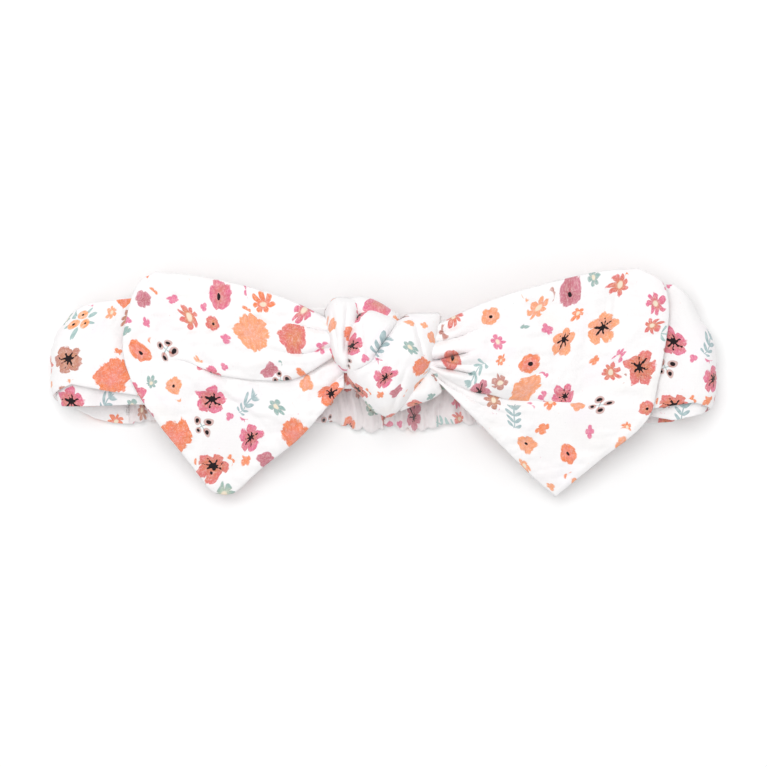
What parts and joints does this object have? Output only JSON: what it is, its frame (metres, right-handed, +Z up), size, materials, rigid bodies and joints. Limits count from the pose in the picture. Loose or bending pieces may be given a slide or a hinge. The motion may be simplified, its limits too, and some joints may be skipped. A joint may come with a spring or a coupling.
{
  "type": "knotted headband",
  "caption": "Soft floral muslin headband with a knotted bow at the front and a gathered elastic casing at the back.",
  "frame": {"origin": "middle of the footprint of the headband lying flat, on the table", "axes": "+X along the flattened loop to the wearer's left in front view, +Y across the band towards the knot's top, +Z up from the table through the knot"},
  "size_m": [0.19, 0.065, 0.0275],
  "materials": {
    "floral_muslin": "matte crinkled muslin with a small floral print",
    "gathered_muslin": "matte muslin, closely gathered",
    "elastic": "matte woven elastic",
    "thread": "matte sewing thread"
  },
  "bodies": {
    "back_centre": {"casing_centre": "gathered_muslin", "elastic_centre": "elastic"},
    "back_left_inner": {"casing_left_inner": "gathered_muslin", "elastic_left_inner": "elastic"},
    "back_left_outer": {"casing_left_outer": "gathered_muslin", "elastic_left_outer": "elastic", "join_seam_left": "floral_muslin", "band_return_left": "floral_muslin"},
    "fold_left": {"band_end_fold_left": "floral_muslin"},
    "front_left_outer": {"band_run_left_outer": "floral_muslin"},
    "front_left_inner": {"band_run_left_inner": "floral_muslin"},
    "front_centre": {"band_run_centre": "floral_muslin", "knot_core": "floral_muslin", "knot_wrap": "floral_muslin", "knot_strand": "floral_muslin", "knot_tuck": "floral_muslin", "knot_back_strap": "floral_muslin", "tack_stitch_left": "thread", "tack_stitch_right": "thread"},
    "tail_left": {"tail_left_upper": "floral_muslin", "tail_left_lower": "floral_muslin"},
    "tail_right": {"tail_right_upper": "floral_muslin", "tail_right_lower": "floral_muslin"},
    "back_right_inner": {"casing_right_inner": "gathered_muslin", "elastic_right_inner": "elastic"},
    "back_right_outer": {"casing_right_outer": "gathered_muslin", "elastic_right_outer": "elastic", "join_seam_right": "floral_muslin", "band_return_right": "floral_muslin"},
    "fold_right": {"band_end_fold_right": "floral_muslin"},
    "front_right_outer": {"band_run_right_outer": "floral_muslin"},
    "front_right_inner": {"band_run_right_inner": "floral_muslin"}
  },
  "joints": [
    {"name": "loop_open", "type": "hinge", "parent": "back_centre", "child": "back_left_inner", "pos_m": [-0.014, 0, 0.002], "axis": [0, 1, 0], "range_deg": [0, 34]},
    {"name": "back_left_bend", "type": "hinge", "parent": "back_left_inner", "child": "back_left_outer", "pos_m": [-0.052, 0, 0.002], "axis": [0, 1, 0], "range_deg": [0, 34.5]},
    {"name": "fold_left_lower", "type": "hinge", "parent": "back_left_outer", "child": "fold_left", "pos_m": [-0.09375, 0, 0.002], "axis": [0, 1, 0], "range_deg": [-68.5, 0]},
    {"name": "fold_left_upper", "type": "hinge", "parent": "fold_left", "child": "front_left_outer", "pos_m": [-0.09375, 0, 0.01275], "axis": [0, 1, 0], "range_deg": [-68.5, 0]},
    {"name": "front_left_bend", "type": "hinge", "parent": "front_left_outer", "child": "front_left_inner", "pos_m": [-0.052, 0, 0.01275], "axis": [0, 1, 0], "range_deg": [0, 34.5]},
    {"name": "front_left_at_knot", "type": "hinge", "parent": "front_left_inner", "child": "front_centre", "pos_m": [-0.014, 0, 0.01275], "axis": [0, 1, 0], "range_deg": [0, 34.5]},
    {"name": "back_right_at_centre", "type": "hinge", "parent": "back_centre", "child": "back_right_inner", "pos_m": [0.014, 0, 0.002], "axis": [0, 1, 0], "range_deg": [-34.5, 0]},
    {"name": "back_right_bend", "type": "hinge", "parent": "back_right_inner", "child": "back_right_outer", "pos_m": [0.052, 0, 0.002], "axis": [0, 1, 0], "range_deg": [-34.5, 0]},
    {"name": "fold_right_lower", "type": "hinge", "parent": "back_right_outer", "child": "fold_right", "pos_m": [0.09375, 0, 0.002], "axis": [0, 1, 0], "range_deg": [0, 68.5]},
    {"name": "fold_right_upper", "type": "hinge", "parent": "fold_right", "child": "front_right_outer", "pos_m": [0.09375, 0, 0.01275], "axis": [0, 1, 0], "range_deg": [0, 68.5]},
    {"name": "front_right_bend", "type": "hinge", "parent": "front_right_outer", "child": "front_right_inner", "pos_m": [0.052, 0, 0.01275], "axis": [0, 1, 0], "range_deg": [-34.5, 0]},
    {"name": "tail_left_lift", "type": "hinge", "parent": "front_centre", "child": "tail_left", "pos_m": [-0.0185, 0, 0.0148], "axis": [0, 1, 0], "range_deg": [0, 50]},
    {"name": "tail_right_lift", "type": "hinge", "parent": "front_centre", "child": "tail_right", "pos_m": [0.0185, 0, 0.0148], "axis": [0, -1, 0], "range_deg": [0, 50]}
  ],
  "couplings": [
    {"joint": "back_left_bend", "follows": "loop_open", "ratio": 1},
    {"joint": "fold_left_lower", "follows": "loop_open", "ratio": -2},
    {"joint": "fold_left_upper", "follows": "loop_open", "ratio": -2},
    {"joint": "front_left_bend", "follows": "loop_open", "ratio": 1},
    {"joint": "front_left_at_knot", "follows": "loop_open", "ratio": 1},
    {"joint": "back_right_at_centre", "follows": "loop_open", "ratio": -1},
    {"joint": "back_right_bend", "follows": "loop_open", "ratio": -1},
    {"joint": "fold_right_lower", "follows": "loop_open", "ratio": 2},
    {"joint": "fold_right_upper", "follows": "loop_open", "ratio": 2},
    {"joint": "front_right_bend", "follows": "loop_open", "ratio": -1}
  ]
}
